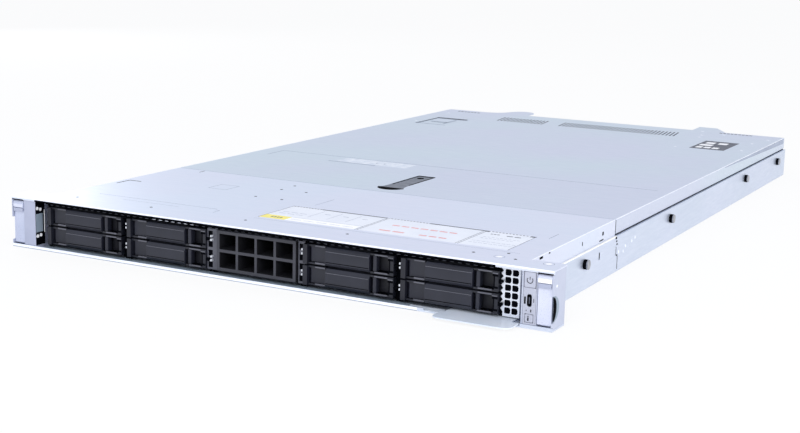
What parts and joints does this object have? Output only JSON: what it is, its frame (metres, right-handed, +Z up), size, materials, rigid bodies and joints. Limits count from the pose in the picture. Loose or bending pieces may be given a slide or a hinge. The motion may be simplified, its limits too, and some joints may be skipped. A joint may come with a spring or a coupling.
{
  "type": "1u rack server",
  "caption": "Flat 1U rack server with small drive carriers behind hinged handles, latching rack ears, a slide-off top cover and plug-in rear power supplies.",
  "frame": {"origin": "middle of the underside, under the centre of the whole object's box", "axes": "+Y to the rear, the way the power supplies pull out; +Z up; +X to the right as seen from the front"},
  "size_m": [0.482, 0.8248, 0.0428],
  "materials": {
    "zinc_steel": "zinc-plated sheet, satin",
    "silver_paint": "silver paint, satin",
    "panel_grey": "silver-grey moulding, satin",
    "tag_plastic": "translucent silver-grey, satin",
    "latch_grey": "moulded grey, matte",
    "black_plastic": "moulded black, matte",
    "drive_metal": "moulded charcoal carrier, matte",
    "handle_black": "moulded charcoal, fine texture",
    "circuit_board": "solder mask over glass laminate",
    "sink_aluminium": "extruded, bare",
    "psu_case": "plated sheet, satin",
    "psu_latch": "moulded orange, satin",
    "port_shell": "nickel-plated shell",
    "stud_steel": "turned steel"
  },
  "bodies": {
    "root": {"chassis_base": "zinc_steel", "front_top_panel": "zinc_steel", "left_ear": "silver_paint", "right_ear": "silver_paint", "control_panel": "panel_grey", "vent_strip": "zinc_steel", "bay_blank": "black_plastic", "drive_cage": "black_plastic", "backplane": "circuit_board", "fan_modules": "black_plastic", "motherboard": "circuit_board", "heat_sinks": "sink_aluminium", "memory_modules": "circuit_board", "rear_panel": "zinc_steel", "slot_brackets": "zinc_steel", "rear_ports": "port_shell", "shoulder_studs": "stud_steel"},
    "cover": {"system_cover": "zinc_steel", "cover_latch_base": "black_plastic"},
    "cover_latch": {"cover_latch_lever": "latch_grey"},
    "left_latch": {"left_ear_latch": "silver_paint"},
    "right_latch": {"right_ear_latch": "silver_paint"},
    "power_button": {"power_button": "panel_grey"},
    "info_button": {"info_button": "panel_grey"},
    "tag": {"info_tag": "tag_plastic"},
    "psu_1": {"psu_1": "psu_case"},
    "psu_2": {"psu_2": "psu_case"},
    "psu_1_latch": {"psu_1_latch": "psu_latch"},
    "psu_2_latch": {"psu_2_latch": "psu_latch"},
    "carrier_1": {"drive_carrier_1": "drive_metal"},
    "handle_1": {"carrier_handle_1": "handle_black"},
    "button_1": {"carrier_button_1": "handle_black"},
    "carrier_2": {"drive_carrier_2": "drive_metal"},
    "handle_2": {"carrier_handle_2": "handle_black"},
    "button_2": {"carrier_button_2": "handle_black"},
    "carrier_3": {"drive_carrier_3": "drive_metal"},
    "handle_3": {"carrier_handle_3": "handle_black"},
    "button_3": {"carrier_button_3": "handle_black"},
    "carrier_4": {"drive_carrier_4": "drive_metal"},
    "handle_4": {"carrier_handle_4": "handle_black"},
    "button_4": {"carrier_button_4": "handle_black"},
    "carrier_5": {"drive_carrier_5": "drive_metal"},
    "handle_5": {"carrier_handle_5": "handle_black"},
    "button_5": {"carrier_button_5": "handle_black"},
    "carrier_6": {"drive_carrier_6": "drive_metal"},
    "handle_6": {"carrier_handle_6": "handle_black"},
    "button_6": {"carrier_button_6": "handle_black"},
    "carrier_7": {"drive_carrier_7": "drive_metal"},
    "handle_7": {"carrier_handle_7": "handle_black"},
    "button_7": {"carrier_button_7": "handle_black"},
    "carrier_8": {"drive_carrier_8": "drive_metal"},
    "handle_8": {"carrier_handle_8": "handle_black"},
    "button_8": {"carrier_button_8": "handle_black"},
    "rotor_1": {"fan_rotor_1": "black_plastic"},
    "rotor_2": {"fan_rotor_2": "black_plastic"},
    "rotor_3": {"fan_rotor_3": "black_plastic"},
    "rotor_4": {"fan_rotor_4": "black_plastic"},
    "rotor_5": {"fan_rotor_5": "black_plastic"},
    "rotor_6": {"fan_rotor_6": "black_plastic"},
    "rotor_7": {"fan_rotor_7": "black_plastic"}
  },
  "joints": [
    {"name": "cover_slide", "type": "slide", "parent": "root", "child": "cover", "axis": [0, 1, 0], "range_m": [0, 0.0127]},
    {"name": "cover_latch_turn", "type": "hinge", "parent": "cover", "child": "cover_latch", "pos_m": [-0.0015, -0.11145, 0.04065], "axis": [-1, 0, 0], "range_deg": [0, 76]},
    {"name": "left_latch_turn", "type": "hinge", "parent": "root", "child": "left_latch", "pos_m": [-0.23435, -0.3925, 0.0357], "axis": [-1, 0, 0], "range_deg": [0, 40], "stiffness_Nm_per_rad": 0.05},
    {"name": "right_latch_turn", "type": "hinge", "parent": "root", "child": "right_latch", "pos_m": [0.23435, -0.3925, 0.0357], "axis": [-1, 0, 0], "range_deg": [0, 40], "stiffness_Nm_per_rad": 0.05},
    {"name": "power_button_press", "type": "slide", "parent": "root", "child": "power_button", "axis": [0, 1, 0], "range_m": [0, 0.0012], "stiffness_N_per_m": 150},
    {"name": "info_button_press", "type": "slide", "parent": "root", "child": "info_button", "axis": [0, 1, 0], "range_m": [0, 0.0008], "stiffness_N_per_m": 150},
    {"name": "tag_pull", "type": "slide", "parent": "root", "child": "tag", "axis": [0, -1, 0], "range_m": [0, 0.075]},
    {"name": "carrier_1_slide", "type": "slide", "parent": "root", "child": "carrier_1", "axis": [0, -1, 0], "range_m": [0, 0.12]},
    {"name": "handle_1_turn", "type": "hinge", "parent": "carrier_1", "child": "handle_1", "pos_m": [-0.2025, -0.3856, 0.0279], "axis": [0, 0, -1], "range_deg": [0, 60]},
    {"name": "button_1_press", "type": "slide", "parent": "carrier_1", "child": "button_1", "axis": [0, 1, 0], "range_m": [0, 0.0015], "stiffness_N_per_m": 150},
    {"name": "carrier_2_slide", "type": "slide", "parent": "root", "child": "carrier_2", "axis": [0, -1, 0], "range_m": [0, 0.12]},
    {"name": "handle_2_turn", "type": "hinge", "parent": "carrier_2", "child": "handle_2", "pos_m": [-0.2025, -0.3856, 0.0118], "axis": [0, 0, -1], "range_deg": [0, 60]},
    {"name": "button_2_press", "type": "slide", "parent": "carrier_2", "child": "button_2", "axis": [0, 1, 0], "range_m": [0, 0.0015], "stiffness_N_per_m": 150},
    {"name": "carrier_3_slide", "type": "slide", "parent": "root", "child": "carrier_3", "axis": [0, -1, 0], "range_m": [0, 0.12]},
    {"name": "handle_3_turn", "type": "hinge", "parent": "carrier_3", "child": "handle_3", "pos_m": [-0.1201, -0.3856, 0.0279], "axis": [0, 0, -1], "range_deg": [0, 60]},
    {"name": "button_3_press", "type": "slide", "parent": "carrier_3", "child": "button_3", "axis": [0, 1, 0], "range_m": [0, 0.0015], "stiffness_N_per_m": 150},
    {"name": "carrier_4_slide", "type": "slide", "parent": "root", "child": "carrier_4", "axis": [0, -1, 0], "range_m": [0, 0.12]},
    {"name": "handle_4_turn", "type": "hinge", "parent": "carrier_4", "child": "handle_4", "pos_m": [-0.1201, -0.3856, 0.0118], "axis": [0, 0, -1], "range_deg": [0, 60]},
    {"name": "button_4_press", "type": "slide", "parent": "carrier_4", "child": "button_4", "axis": [0, 1, 0], "range_m": [0, 0.0015], "stiffness_N_per_m": 150},
    {"name": "carrier_5_slide", "type": "slide", "parent": "root", "child": "carrier_5", "axis": [0, -1, 0], "range_m": [0, 0.12]},
    {"name": "handle_5_turn", "type": "hinge", "parent": "carrier_5", "child": "handle_5", "pos_m": [0.0447, -0.3856, 0.0279], "axis": [0, 0, -1], "range_deg": [0, 60]},
    {"name": "button_5_press", "type": "slide", "parent": "carrier_5", "child": "button_5", "axis": [0, 1, 0], "range_m": [0, 0.0015], "stiffness_N_per_m": 150},
    {"name": "carrier_6_slide", "type": "slide", "parent": "root", "child": "carrier_6", "axis": [0, -1, 0], "range_m": [0, 0.12]},
    {"name": "handle_6_turn", "type": "hinge", "parent": "carrier_6", "child": "handle_6", "pos_m": [0.0447, -0.3856, 0.0118], "axis": [0, 0, -1], "range_deg": [0, 60]},
    {"name": "button_6_press", "type": "slide", "parent": "carrier_6", "child": "button_6", "axis": [0, 1, 0], "range_m": [0, 0.0015], "stiffness_N_per_m": 150},
    {"name": "carrier_7_slide", "type": "slide", "parent": "root", "child": "carrier_7", "axis": [0, -1, 0], "range_m": [0, 0.12]},
    {"name": "handle_7_turn", "type": "hinge", "parent": "carrier_7", "child": "handle_7", "pos_m": [0.1271, -0.3856, 0.0279], "axis": [0, 0, -1], "range_deg": [0, 60]},
    {"name": "button_7_press", "type": "slide", "parent": "carrier_7", "child": "button_7", "axis": [0, 1, 0], "range_m": [0, 0.0015], "stiffness_N_per_m": 150},
    {"name": "carrier_8_slide", "type": "slide", "parent": "root", "child": "carrier_8", "axis": [0, -1, 0], "range_m": [0, 0.12]},
    {"name": "handle_8_turn", "type": "hinge", "parent": "carrier_8", "child": "handle_8", "pos_m": [0.1271, -0.3856, 0.0118], "axis": [0, 0, -1], "range_deg": [0, 60]},
    {"name": "button_8_press", "type": "slide", "parent": "carrier_8", "child": "button_8", "axis": [0, 1, 0], "range_m": [0, 0.0015], "stiffness_N_per_m": 150},
    {"name": "rotor_1_spin", "type": "hinge", "parent": "root", "child": "rotor_1", "pos_m": [-0.174, -0.0634, 0.0212], "axis": [0, 1, 0], "continuous": true},
    {"name": "rotor_2_spin", "type": "hinge", "parent": "root", "child": "rotor_2", "pos_m": [-0.116, -0.0634, 0.0212], "axis": [0, 1, 0], "continuous": true},
    {"name": "rotor_3_spin", "type": "hinge", "parent": "root", "child": "rotor_3", "pos_m": [-0.058, -0.0634, 0.0212], "axis": [0, 1, 0], "continuous": true},
    {"name": "rotor_4_spin", "type": "hinge", "parent": "root", "child": "rotor_4", "pos_m": [0, -0.0634, 0.0212], "axis": [0, 1, 0], "continuous": true},
    {"name": "rotor_5_spin", "type": "hinge", "parent": "root", "child": "rotor_5", "pos_m": [0.058, -0.0634, 0.0212], "axis": [0, 1, 0], "continuous": true},
    {"name": "rotor_6_spin", "type": "hinge", "parent": "root", "child": "rotor_6", "pos_m": [0.116, -0.0634, 0.0212], "axis": [0, 1, 0], "continuous": true},
    {"name": "rotor_7_spin", "type": "hinge", "parent": "root", "child": "rotor_7", "pos_m": [0.174, -0.0634, 0.0212], "axis": [0, 1, 0], "continuous": true},
    {"name": "psu_1_slide", "type": "slide", "parent": "root", "child": "psu_1", "axis": [0, 1, 0], "range_m": [0, 0.2]},
    {"name": "psu_1_latch_press", "type": "slide", "parent": "psu_1", "child": "psu_1_latch", "axis": [1, 0, 0], "range_m": [0, 0.003], "stiffness_N_per_m": 200},
    {"name": "psu_2_slide", "type": "slide", "parent": "root", "child": "psu_2", "axis": [0, 1, 0], "range_m": [0, 0.2]},
    {"name": "psu_2_latch_press", "type": "slide", "parent": "psu_2", "child": "psu_2_latch", "axis": [-1, 0, 0], "range_m": [0, 0.003], "stiffness_N_per_m": 200}
  ],
  "couplings": [
    {"joint": "cover_latch_turn", "follows": "cover_slide", "rad_per_m": 103.07}
  ]
}
